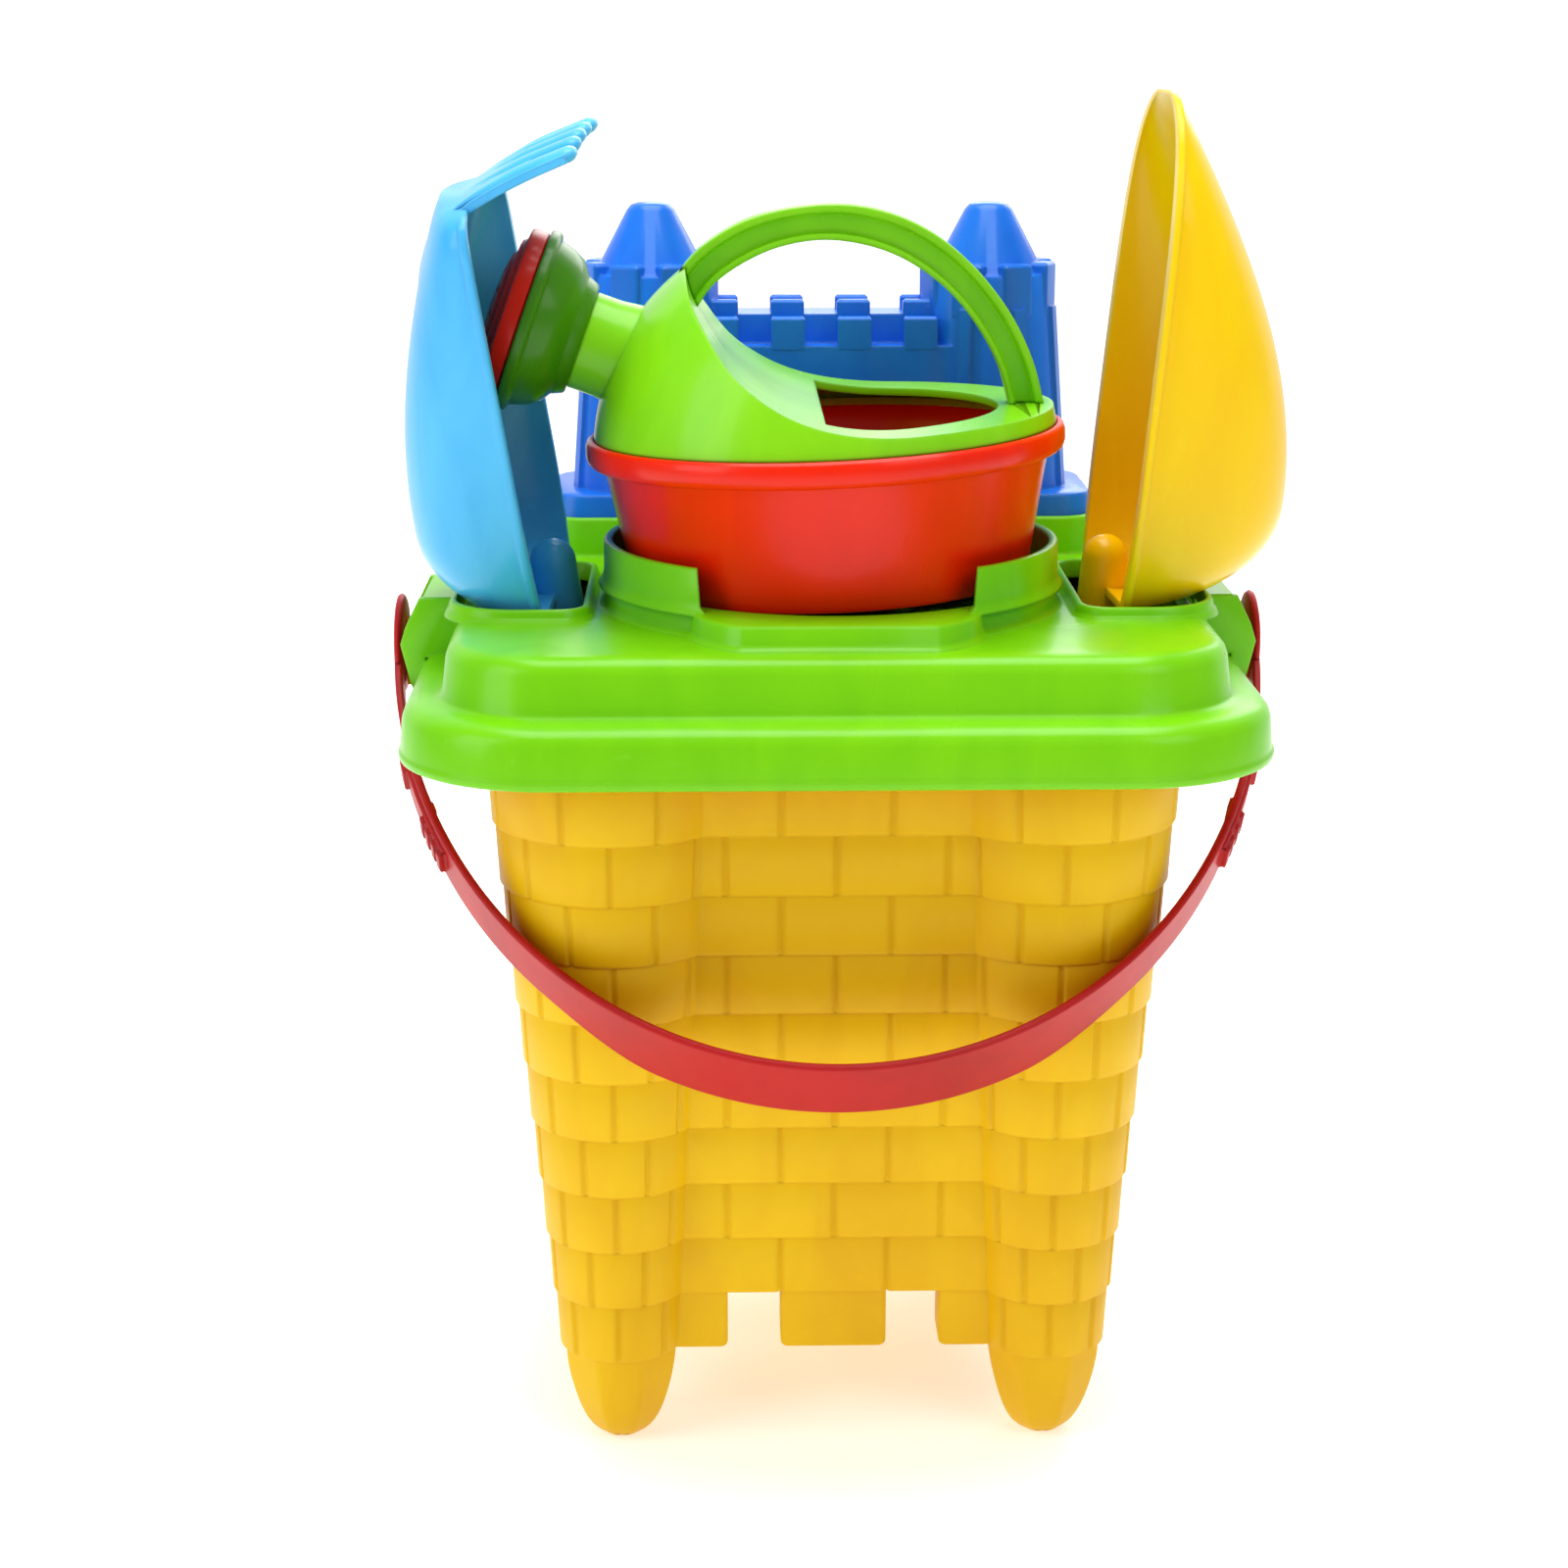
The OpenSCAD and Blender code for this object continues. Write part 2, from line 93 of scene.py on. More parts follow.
def plate(outline, z0, z1, soft=0.0):
    """A flat form from a counter-clockwise outline, with softened upper and lower edges."""
    rows = [(z0, soft), (z0 + 0.35 * soft, 0.3 * soft), (z0 + soft, 0), (z1 - soft, 0),
            (z1 - 0.35 * soft, 0.3 * soft), (z1, soft)] if soft else [(z0, 0), (z1, 0)]
    return loft([[(x, y, z) for x, y in shrink(outline, inset)] for z, inset in rows])


def shrink(outline, inset):
    """Moves a closed outline inwards."""
    if not inset:
        return outline
    moved = []
    for i, (x, y) in enumerate(outline):
        ax, ay = outline[i - 1]
        bx, by = outline[(i + 1) % len(outline)]
        n1 = Vector((-(y - ay), x - ax)).normalized()
        n2 = Vector((-(by - y), bx - x)).normalized()
        n = n1 + n2
        scale = 2 / max(n.length_squared, 0.6)
        moved.append((x + n.x * inset * scale, y + n.y * inset * scale))
    return moved


def smooth(points, steps=8):
    """A smooth curve through points."""
    curve = []
    for i in range(len(points) - 1):
        p0, p1, p2, p3 = (Vector(points[max(i - 1, 0)]), Vector(points[i]), Vector(points[i + 1]),
                          Vector(points[min(i + 2, len(points) - 1)]))
        for s in range(steps):
            t = s / steps
            curve.append(tuple(0.5 * (2 * p1 + (p2 - p0) * t + (2 * p0 - 5 * p1 + 4 * p2 - p3) * t * t
                                      + (3 * p1 - p0 - 3 * p2 + p3) * t ** 3)))
    return curve + [tuple(points[-1])]


def moved(form, matrix):
    flip = matrix.to_3x3().determinant() < 0
    points = [tuple(matrix @ Vector(p)) for p in form[0]]
    return points, [tuple(reversed(f)) for f in form[1]] if flip else form[1]


def shift(form, x=0.0, y=0.0, z=0.0):
    return moved(form, Matrix.Translation((x, y, z)))


def turn(degrees, axis):
    return Matrix.Rotation(radians(degrees), 4, axis)


def lying(form):
    """Turns a form built upwards so that its own Z points to -Y and its own Y points up."""
    return moved(form, turn(90, "X"))


def mirrored(form):
    return moved(form, Matrix.Diagonal((-1, 1, 1, 1)))


def to_mesh(form, name="form"):
    mesh = bpy.data.meshes.new(name)
    mesh.from_pydata([Vector(p) * MM for p in form[0]], [], form[1])
    mesh.validate()
    return mesh


def to_object(form):
    thing = bpy.data.objects.new("form", to_mesh(form))
    bpy.context.scene.collection.objects.link(thing)
    return thing


def combined(base, *tools, how="UNION"):
    """The base form or object with tools added or cut away."""
    thing = to_object(base) if isinstance(base, tuple) else base
    for tool in tools:
        other = to_object(tool) if isinstance(tool, tuple) else tool
        work = thing.modifiers.new("work", "BOOLEAN")
        work.operation, work.solver, work.object = how, "MANIFOLD", other
        depsgraph = bpy.context.evaluated_depsgraph_get()
        mesh = bpy.data.meshes.new_from_object(thing.evaluated_get(depsgraph))
        thing.modifiers.clear()
        thing.data = mesh
        bpy.data.objects.remove(other)
    return thing


def cut(base, *tools):
    return combined(base, *tools, how="DIFFERENCE")


def common(base, *tools):
    return combined(base, *tools, how="INTERSECT")


def piece(form, name, body, nodes, material, crease=32):
    """Names a form as a visible piece, with its body, the nodes it stands for and its finish."""
    thing = to_object(form) if isinstance(form, tuple) else form
    thing.name = thing.data.name = name
    thing.data.materials.clear()
    thing.data.materials.append(material)
    thing.data.polygons.foreach_set("use_smooth", [True] * len(thing.data.polygons))
    thing.data.set_sharp_from_angle(angle=radians(crease))
    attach(thing, body)
    if nodes:
        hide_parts(*nodes)
    return thing


# ---- finishes ----


class Wire:
    """A shader value that takes part in Python sums."""

    def __init__(self, finish, socket):
        self.finish, self.socket = finish, socket

    def _sum(self, operation, a, b):
        return self.finish.node("ShaderNodeMath", {"operation": operation}, {0: a, 1: b}).out(0)

    def __add__(self, other): return self._sum("ADD", self, other)
    def __radd__(self, other): return self._sum("ADD", other, self)
    def __sub__(self, other): return self._sum("SUBTRACT", self, other)
    def __rsub__(self, other): return self._sum("SUBTRACT", other, self)
    def __mul__(self, other): return self._sum("MULTIPLY", self, other)
    def __rmul__(self, other): return self._sum("MULTIPLY", other, self)

    def between(self, low, high):
        """0 below low, 1 above high."""
        return self.finish.node("ShaderNodeMapRange", {"clamp": True, "interpolation_type": "SMOOTHSTEP"},
                                {0: self, 1: low, 2: high}).out(0)


class Node:
    def __init__(self, finish, node):
        self.finish, self.node = finish, node

    def out(self, key):
        return Wire(self.finish, self.node.outputs[key])


class Finish:
    """One material's node tree."""

    def __init__(self, name):
        self.material = bpy.data.materials.new(name)
        self.material.use_nodes = True
        self.tree = self.material.node_tree
        self.shader = self.tree.nodes["Principled BSDF"]

    def node(self, kind, settings=None, sockets=None):
        node = self.tree.nodes.new(kind)
        for key, value in (settings or {}).items():
            setattr(node, key, value)
        for key, value in (sockets or {}).items():
            self.feed(node.inputs[key], value)
        return Node(self, node)

    def feed(self, socket, value):
        if isinstance(value, Wire):
            self.tree.links.new(value.socket, socket)
        else:
            socket.default_value = value

    def shade(self, **sockets):
        for key, value in sockets.items():
            self.feed(self.shader.inputs[key.replace("_", " ")], value)


def linear(r, g, b):
    """A colour as an artist names it, 0 to 255, as the shader wants it."""
    return tuple(((c / 255 + 0.055) / 1.055) ** 2.4 if c > 10.3 else c / 255 / 12.92 for c in (r, g, b)) + (1,)


def plastic(name, colour, deep, rough=0.28, coat=0.1, grain=0.12, edge=0.5, edge_width=0.0011):
    """Moulded plastic: a body colour that drifts to a deeper one, flow marks, fine grain, scuffs and a painted
    highlight along edges.
    """
    f = Finish(name)
    place = f.node("ShaderNodeTexCoord").out("Object")
    stretched = f.node("ShaderNodeMapping", {}, {"Vector": place, "Scale": (1.0, 1.0, 0.3)}).out(0)
    drift = f.node("ShaderNodeTexNoise", {}, {"Vector": place, "Scale": 9.0, "Detail": 3.0}).out(0)
    flow = f.node("ShaderNodeTexNoise", {}, {"Vector": stretched, "Scale": 55.0, "Detail": 4.0,
                                             "Distortion": 0.8}).out(0)
    peel = f.node("ShaderNodeTexNoise", {}, {"Vector": place, "Scale": 420.0, "Detail": 3.0}).out(0)
    speck = f.node("ShaderNodeTexNoise", {}, {"Vector": place, "Scale": 2600.0, "Detail": 2.0}).out(0)
    long_way = f.node("ShaderNodeMapping", {}, {"Vector": place, "Rotation": (0.5, 0.9, 0.3),
                                                "Scale": (1.0, 16.0, 1.4)}).out(0)
    scratch = f.node("ShaderNodeTexNoise", {}, {"Vector": long_way, "Scale": 130.0, "Detail": 2.0}).out(0)
    scuffs = scratch.between(0.66, 0.72) * drift.between(0.46, 0.62)

    # Edge mask: where the rounded shading normal turns away from the flat one. It sets where the painted edge
    # highlight goes.
    round_normal = f.node("ShaderNodeBevel", {"samples": 4}, {"Radius": edge_width}).out(0)
    flat_normal = f.node("ShaderNodeNewGeometry").out("Normal")
    facing = f.node("ShaderNodeVectorMath", {"operation": "DOT_PRODUCT"}, {0: round_normal, 1: flat_normal})
    edges = (1 - facing.out("Value")).between(0.01, 0.28)

    body = f.node("ShaderNodeMix", {"data_type": "RGBA"}, {
        0: (drift * 0.55 + flow * 0.45).between(0.36, 0.68) * 0.7, 6: colour, 7: deep}).out(2)
    pale = tuple(min(1.0, c * 1.12 + 0.045) for c in colour[:3]) + (1,)
    # Painted highlight: edges are lightened towards pale, standing in for light catching the rounded edges.
    edge_highlit_colour = f.node("ShaderNodeMix", {"data_type": "RGBA"}, {0: edges * edge * (0.55 + flow * 0.6), 6: body, 7: pale}).out(2)
    # Scuffs (real wear) lighten the colour further, on top of the painted edge highlight.
    scuffed_and_edge_highlit = f.node("ShaderNodeMix", {"data_type": "RGBA"}, {0: scuffs * 0.12, 6: edge_highlit_colour, 7: pale}).out(2)
    relief = peel * 0.7 + speck * grain + scuffs * 0.25
    bump = f.node("ShaderNodeBump", {}, {"Strength": 0.35, "Distance": 0.00006, "Height": relief,
                                         "Normal": round_normal}).out(0)
    f.shade(Base_Color=scuffed_and_edge_highlit, Normal=bump, Roughness=rough + drift * 0.07 + flow * 0.06 + scuffs * 0.22 - 0.06,
            Coat_Weight=coat + (flow - 0.5) * 0.08, Coat_Roughness=0.12, IOR=1.45, Specular_IOR_Level=0.24)
    return f.material


# ---- bucket ----

TOWER_AXIS = 55.0
FOOT_H = 26.0
COURSE_H = 15.69
COURSE_STEP = 1.61
TOP_COURSE = 9
DRAFT = 0.4
BRICK_W = 27.26
BRICKS_ROUND = 8
BUCKET_WALL = 2.2
RIM_Z = 199.4
RIM_HALF = 101.5
PIVOT_Z = 200.0
EAR_R = 6.3
JOINT_DEPTH = 0.75
JOINT_SIDES = (-1.05, -0.3, 0.3, 1.05)


def course_z(k): return FOOT_H + (k + 1) * COURSE_H
def course_r(k): return 29.2 - (7 - k) * COURSE_STEP
def wall_half(k): return TOWER_AXIS + course_r(k) - 9.5


def course_rows(k):
    """Heights and insets down one course of bricks, with soft edges and an overhanging foot."""
    z0, z1 = course_z(k), course_z(k + 1)
    return [(z0, -DRAFT - 0.45), (z0 + 0.12, -DRAFT - 0.2), (z0 + 0.45, -DRAFT),
            (z1 - 0.3, DRAFT), (z1, DRAFT - 0.15)]


def joint_dip(offset):
    return JOINT_DEPTH if abs(offset) < 0.5 else 0.0


def tower_ring(radius, z, odd, flat=0.0):
    """One ring of a tower; odd courses have a joint facing the front."""
    ring = []
    for j in range(2 * BRICKS_ROUND):
        a = j * pi / BRICKS_ROUND
        open_joint = odd is not None and (j % 2 == 0) == odd
        stations = [(a + mm / radius, joint_dip(mm) if open_joint else 0.0) for mm in JOINT_SIDES]
        stations += [(a + part * pi / BRICKS_ROUND, 0.0) for part in (0.35, 0.5, 0.65)]
        for angle, dip in stations:
            facet = (angle + pi / 8) % (pi / 4) - pi / 8
            r = radius * (1 - flat + flat * cos(pi / 8) / cos(facet)) - dip
            ring.append((r * sin(angle), -r * cos(angle), z))
    return ring


FOOT_PROFILE = [(0, 4.0), (0.5, 5.3), (1.6, 6.9), (3.5, 8.7), (6.5, 10.5), (11, 12.3), (17, 14.0), (22.5, 15.0), (25.9, 15.2)]


def tower():
    rings = [tower_ring(r, z, None, 0.85) for z, r in smooth(FOOT_PROFILE, 3)]
    for k in range(-1, TOP_COURSE + 1):
        rings += [tower_ring(course_r(k) + out, z, k % 2 == 1) for z, out in course_rows(k)]
    return loft(rings)


def wall_ring(half, z, joints):
    side = [(-half, -half)]
    for x in sorted(b * BRICK_W / 2 for b in range(-2, 3)):
        for mm in JOINT_SIDES:
            side.append((x + mm, -half + (joint_dip(mm) if any(abs(x - j) < 1 for j in joints) else 0.0)))
    ring = []
    for quarter in range(4):
        c, s = round(cos(quarter * pi / 2)), round(sin(quarter * pi / 2))
        ring += [(x * c - y * s, x * s + y * c, z) for x, y in side]
    return ring


def walls():
    rings = []
    for k in range(0, TOP_COURSE + 1):
        joints = (-BRICK_W, 0, BRICK_W) if k % 2 else (-BRICK_W / 2, BRICK_W / 2)
        rings += [wall_ring(wall_half(k) + out, z, joints) for z, out in course_rows(k)]
    return loft(rings)


def merlon(x0, x1, depth=13.0):
    """One tooth under the wall, with round lower corners, standing at the front."""
    z0, z1, r = course_z(-1), course_z(0) + 1, 1.8
    outline = [(x0 + r - r * sin(a), z0 + r - r * cos(a)) for a in (pi / 2, pi / 3, pi / 6, 0)]
    outline += [(x1 - r + r * sin(a), z0 + r - r * cos(a)) for a in (0, pi / 6, pi / 3, pi / 2)]
    outline += [(x1, z1), (x0, z1)]
    half = wall_half(-1) - DRAFT + 0.4
    form = lying(plate(outline, half - depth, half, 0.5))
    return form


def merlons():
    teeth = [merlon(-BRICK_W / 2, BRICK_W / 2), merlon(-TOWER_AXIS + 6, -BRICK_W), merlon(BRICK_W, TOWER_AXIS - 6)]
    return [moved(tooth, turn(90 * quarter, "Z")) for quarter in range(4) for tooth in teeth]


def on_towers(form):
    """The same form on all four towers, turned so that its front joint faces out to the front or back."""
    return [shift(moved(form, turn(0 if sy < 0 else 180, "Z")), sx * TOWER_AXIS, sy * TOWER_AXIS)
            for sx in (-1, 1) for sy in (-1, 1)]


def bucket_ear(side):
    """A round ear on a bracket that holds one end of the strap."""
    outline = [(EAR_R * cos(pi * i / 24), EAR_R * sin(pi * i / 24)) for i in range(25)]
    outline += [(-EAR_R, -10), (EAR_R, -10)]
    ear = moved(plate(outline, 107.2, 110.6, 0.5), turn(90, "Y") @ turn(90, "Z"))
    ear = shift(ear, z=PIVOT_Z)
    arm = shift(block(6.3, EAR_R, 1.5, [(0, 0.3), (0.3, 0), (2.7, 0), (3, 0.3)]), 104.3, 0, RIM_Z - 9.4)
    bore = shift(moved(turned([(0, -1), (4.06, -1), (4.06, 12), (0, 12)], 48), turn(90, "Y")), 102.2, 0, PIVOT_Z)
    ear = cut(combined(ear, arm), bore)
    if side < 0:
        ear.data.transform(Matrix.Diagonal((-1, 1, 1, 1)))
        ear.data.flip_normals()
    return ear


def bucket():
    rim = cut(
        block(RIM_HALF, RIM_HALF, 34, [(RIM_Z - 9.4, 0.6), (RIM_Z - 9, 0.1), (RIM_Z - 8.5, 0), (RIM_Z - 1, 0),
                                       (RIM_Z - 0.3, 0.3), (RIM_Z, 0.9)]),
        block(RIM_HALF - 2, RIM_HALF - 2, 32, [(RIM_Z - 11, 0), (RIM_Z - 2.4, 0)]))
    body = combined(walls(), *on_towers(tower()), *merlons(), rim, bucket_ear(1), bucket_ear(-1))
    low, high = wall_half(0) - DRAFT - BUCKET_WALL, wall_half(TOP_COURSE) + DRAFT - BUCKET_WALL
    inside = loft([round_square(low, low, 3, course_z(0) + BUCKET_WALL),
                   round_square(high, high, 3, RIM_Z + 1)])
    hollow = turned([(0, 3), (3, 3), (8, 8), (12.7, FOOT_H), (course_r(TOP_COURSE) - BUCKET_WALL, RIM_Z + 1),
                     (0, RIM_Z + 1)], 64)
    return cut(body, inside, *on_towers(hollow))


# ---- strap ----

STRAP = {"half": 112.5, "reach": 135.5, "lean": 50.9, "width": 15.5, "more": 5.0, "thick": 2.0}


def strap_point(a, out=0.0):
    """A point of the hanging strap's ellipse, before the lean."""
    return Vector(((STRAP["half"] + out) * cos(a), -(STRAP["reach"] + out) * sin(a)))


def strap_section(a, low, high, under, over):
    """The strap's cross-section at angle a, from offset low to offset high, with soft edges."""
    soft = min(0.55, (high - low) * 0.45)
    shape = [(low + soft, -under), (high - soft, -under), (high, -under + soft), (high, over - soft),
             (high - soft, over), (low + soft, over), (low, over - soft), (low, -under + soft)]
    return [(*strap_point(a, out), across) for out, across in shape]


def strap_sweep(first, last, low, high, half, count=120):
    """A length of strap between two angles, with a fixed half width or one that edges(a) gives."""
    rings = []
    for i in range(count + 1):
        a = radians(first + (last - first) * i / count)
        rings.append(strap_section(a, low, high, *(half(a) if callable(half) else (half, half))))
    return loft(list(reversed(rings)))


def strap_edges(a):
    """How far the strap reaches below and above its middle line: wider under the middle, narrow at the ends."""
    half = STRAP["width"] / 2
    end = abs(1 - 2 * a / pi) ** 8
    middle = min(1.0, max(0.0, (72 - abs(strap_point(a).x)) / 28))
    middle = middle * middle * (3 - 2 * middle)
    return half * (1 - 0.42 * end) + STRAP["more"] * middle, half * (1 - 0.42 * end)


def strap():
    half_t = STRAP["thick"] / 2
    band = to_object(strap_sweep(0, 180, -half_t, half_t, strap_edges, 160))
    tools = []
    for side in (1, -1):
        lap = strap_sweep(17, 31, 0.2, half_t + 0.9, 4.75, 24)
        knob = strap_sweep(17.4, 19.2, 0.2, half_t + 2.0, 4.0, 5)
        studs = [strap_sweep(a, a + 0.9, 0.2, half_t + 1.9, 3.5, 4) for a in (25.4, 27.1, 28.8, 30.3)]
        pad = strap_sweep(24.2, 25.4, -half_t - 0.9, 0.2, 4.0, 5)
        for form in [lap, knob, pad] + studs:
            tools.append(mirrored(form) if side < 0 else form)
    band = combined(band, *tools)
    band.data.transform(turn(90 - STRAP["lean"], "X"))
    ends = []
    for side in (1, -1):
        profile = [(0, 0), (11.6, 0), (12.5, 0.35), (13, 1.1), (12.5, 1.9), (11, 2.3), (6, 2.6), (0, 2.6)]
        disc = turned(profile, 72)
        stud = turned([(0, -6), (3.2, -6), (4.6, -4.7), (4, -4.1), (4, 0.5), (0, 0.5)], 48)
        for form in (shift(disc, z=111.0), shift(stud, z=111.0)):
            form = moved(form, turn(90, "Y"))
            ends.append(mirrored(form) if side < 0 else form)
    band = combined(band, *ends)
    band.data.transform(Matrix.Translation((0, 0, PIVOT_Z * MM)))
    return band


# ---- lid ----

SKIRT_HALF = 106.4
SKIRT_Z = 186.5
DECK_HALF = 95.5
DECK_Z = 215.5
SEAT_Z = 221.4
LID_WALL = 2.0
CAN_Y = -22.0
COLLAR_TOP = 232.0
COLLAR_R = (55.4, 57.8)
WELL_R = 51.2
WELL_Z = 219.2
NOTCH_HALF = 33.0
POCKET = {"x": (62.5, 94.4), "y": (-49.0, 17.0), "lip": 3.0}
STAGE = {"y": 67.0, "half": (78.4, 26.4), "z": 226.0}


def seat_outline():
    """The can's round seat with its flat front step and hollowed flanks."""
    r = COLLAR_R[1]
    start = atan2(-69 - CAN_Y, 36.5)
    points = [(r * cos(a), CAN_Y + r * sin(a)) for a in
              [start + (3 * pi + 2 * abs(pi / 2 + start) - pi - 4 * abs(pi / 2 + start)) * i / 64 for i in range(65)]]
    flank = smooth([points[-1], (-33, -76.5), (-27.5, -83.5), (-23, -86.5)], 4)[1:]
    return points + flank + [(-x, y) for x, y in reversed(flank)]


def lid_shell():
    outer = []
    for z, half, corner in [
        (SKIRT_Z, 105.5, 37.1), (SKIRT_Z + 0.3, 106.1, 37.7), (SKIRT_Z + 0.9, SKIRT_HALF, 38), (SKIRT_Z + 2.0, SKIRT_HALF, 38),
        (SKIRT_Z + 2.6, 105.9, 37.5), (196.6, 105.3, 37), (198.6, 104.6, 36.4), (200.0, 103.2, 35.2), (200.8, 101.2, 33.6),
        (201.1, 99.0, 31.5), (201.3, 97.3, 30), (201.9, 96.2, 29), (203.2, 95.5, 28.4), (211.2, 94.6, 28),
        (213.2, 93.9, 27.6), (214.5, 92.6, 26.6), (215.2, 90.8, 25), (DECK_Z, 88.6, 23),
    ]:
        outer.append(round_square(half, half, corner, z, 14))
    skirt_room = block(SKIRT_HALF - 2.4, SKIRT_HALF - 2.4, 35.6, [(SKIRT_Z - 1, 0), (197.0, 0.6), (RIM_Z + 0.1, 3.2)], steps=14)
    deck_room = block(DECK_HALF - LID_WALL, DECK_HALF - LID_WALL, 26,
                      [(RIM_Z - 1, 1.2), (209, 1.2), (212.4, 2.2), (DECK_Z - LID_WALL, 4.4)], steps=14)
    return loft(outer), [skirt_room, deck_room]


def pocket_outline(grow=0.0):
    """A pocket with a flat front and large round outer corners."""
    (x0, x1), (y0, y1) = POCKET["x"], POCKET["y"]
    x0, x1, y0, y1 = x0 - grow, x1 + grow, y0 - grow, y1 + grow
    inner, outer = 6 + grow, 15 + grow
    points = []
    for cx, cy, r, start in ((x1 - outer, y1 - outer, outer, 0), (x0 + inner, y1 - inner, inner, 1),
                             (x0 + inner, y0 + inner, inner, 2), (x1 - outer, y0 + outer, outer, 3)):
        points += [(cx + r * cos((start + i / 10) * pi / 2), cy + r * sin((start + i / 10) * pi / 2))
                   for i in range(11)]
    return points


def ear_guard():
    """Two webs beside the bucket's ear, and the roof between them."""
    web = [(93, 199), (104.4, 199.6), (104.4, 187.5), (106, 187.0), (108.6, 193), (110.9, 203), (109.5, 207.5), (105.8, 215.0), (93, 215.4)]
    forms = []
    for y in (-17.5, 14.5):
        forms.append(moved(plate(web, 0, 3, 0.45), Matrix.Translation((0, y + 3, 0)) @ turn(90, "X")))
    roof = block(6.4, 17.4, 1.2, [(DECK_Z - LID_WALL - 0.4, 0.3), (DECK_Z - LID_WALL, 0), (DECK_Z - 0.7, 0), (DECK_Z - 0.15, 0.5)])
    forms.append(shift(roof, 98.6))
    return forms


def stage_rows(z0, z1):
    return [(z0, -1.6), (z0 + 0.5, -0.7), (z0 + 1.4, -0.1), (z0 + 2.2, 0), (z1 - 0.9, 0), (z1 - 0.3, 0.25), (z1, 0.8)]


def lid():
    shell, rooms = lid_shell()
    seat = seat_outline()
    seat_rows = [(DECK_Z - 1, -1.6), (DECK_Z + 0.2, -1.3), (DECK_Z + 0.8, -0.4), (DECK_Z + 1.8, 0.1), (SEAT_Z - 1, 0.35), (SEAT_Z - 0.3, 0.7), (SEAT_Z, 1.3)]
    step = loft([[(x, y, z) for x, y in shrink(seat, inset)] for z, inset in seat_rows])
    stage = loft([round_square(STAGE["half"][0] - i, STAGE["half"][1] - i, 13 - i, z, 10, (0, STAGE["y"]))
                  for z, i in stage_rows(DECK_Z - 1, STAGE["z"])])
    body = combined(shell, step, stage)
    well_floor = turned([(0, WELL_Z - LID_WALL), (WELL_R + LID_WALL, WELL_Z - LID_WALL), (WELL_R + LID_WALL, SEAT_Z),
                         (0, SEAT_Z)], 96, (0, CAN_Y))
    under_step = cut(loft([[(x, y, z) for x, y in shrink(seat, LID_WALL)] for z in (DECK_Z - 3, SEAT_Z - LID_WALL)]),
                     well_floor)
    well = turned([(0, WELL_Z), (WELL_R - 0.5, WELL_Z), (WELL_R, WELL_Z + 0.5), (WELL_R, SEAT_Z - 0.5),
                   (WELL_R + 0.5, SEAT_Z + 0.1), (0, SEAT_Z + 0.1)], 128, (0, CAN_Y))
    under_stage = block(STAGE["half"][0] - LID_WALL, STAGE["half"][1] - LID_WALL, 11,
                        [(DECK_Z - 3, 0.5), (STAGE["z"] - 6, 0.5)], (0, STAGE["y"]))
    recess = block(STAGE["half"][0] - LID_WALL, STAGE["half"][1] - LID_WALL, 11,
                   [(STAGE["z"] - 4, 0), (STAGE["z"] + 1, 0)], (0, STAGE["y"]))
    body = cut(body, *rooms, under_step, under_stage, recess, well)

    inner_r, outer_r = COLLAR_R
    collar = turned_ring([
        (inner_r, SEAT_Z - 0.8), (outer_r + 1.5, SEAT_Z - 0.8), (outer_r + 0.7, SEAT_Z + 0.3), (outer_r + 0.2, SEAT_Z + 1.3),
        (outer_r, SEAT_Z + 2.6), (outer_r, COLLAR_TOP - 0.7), (outer_r - 0.35, COLLAR_TOP - 0.12),
        (outer_r - 0.8, COLLAR_TOP), (inner_r + 0.8, COLLAR_TOP), (inner_r + 0.25, COLLAR_TOP - 0.15),
        (inner_r, COLLAR_TOP - 0.7)], 120, (0, CAN_Y))
    notch = lying(plate([(-NOTCH_HALF, SEAT_Z + 1.2), (-NOTCH_HALF + 1.2, SEAT_Z), (NOTCH_HALF - 1.2, SEAT_Z), (NOTCH_HALF, SEAT_Z + 1.2),
                         (NOTCH_HALF + 0.8, COLLAR_TOP + 2), (-NOTCH_HALF - 0.8, COLLAR_TOP + 2)], 50, 100))
    collar = cut(collar, notch)
    body = combined(body, collar)

    top = DECK_Z + POCKET["lip"]
    lips, mouths, guards, slots = [], [], [], []
    for side in (1, -1):
        lip_rows = [(DECK_Z - 1, -1.6), (DECK_Z + 0.3, -1.0), (DECK_Z + 1, -0.3), (top - 0.7, 0), (top - 0.2, 0.25), (top, 0.7)]
        lip = loft([[(x, y, z) for x, y in shrink(pocket_outline(1.8), inset)] for z, inset in lip_rows])
        mouth = loft([[(x, y, z) for x, y in shrink(pocket_outline(0), inset)]
                      for z, inset in ((DECK_Z - 5, 0), (top - 0.6, 0), (top + 1, -0.9))])
        lips.append(lip if side > 0 else mirrored(lip))
        mouths.append(mouth if side > 0 else mirrored(mouth))
        for form in ear_guard():
            guards.append(form if side > 0 else mirrored(form))
        for form in (block(4, 13, 0.5, [(SKIRT_Z - 1, 0), (RIM_Z - 6, 0)], (104, 0)),
                     block(1.5, 7, 0.3, [(SKIRT_Z - 1, 0), (SKIRT_Z + 21, 0)], (106.7, 0))):
            slots.append(form if side > 0 else mirrored(form))
    body = combined(body, *lips, *guards)
    body = cut(body, *mouths, *slots)
    pitch, r = 8.5, 2.2
    holes = [shift(turned([(0, DECK_Z), (r, DECK_Z), (r, WELL_Z - 0.4), (r + 0.6, WELL_Z + 0.4), (0, WELL_Z + 0.4)], 20),
                   i * pitch, CAN_Y + j * pitch) for i in range(-5, 6) for j in range(-5, 6) if hypot(i, j) < 5.2]
    return cut(body, joined(holes))


def joined(forms):
    """Several separate forms as one."""
    points, faces = [], []
    for p, f in forms:
        faces += [tuple(i + len(points) for i in face) for face in f]
        points += p
    return points, faces


# ---- watering can ----

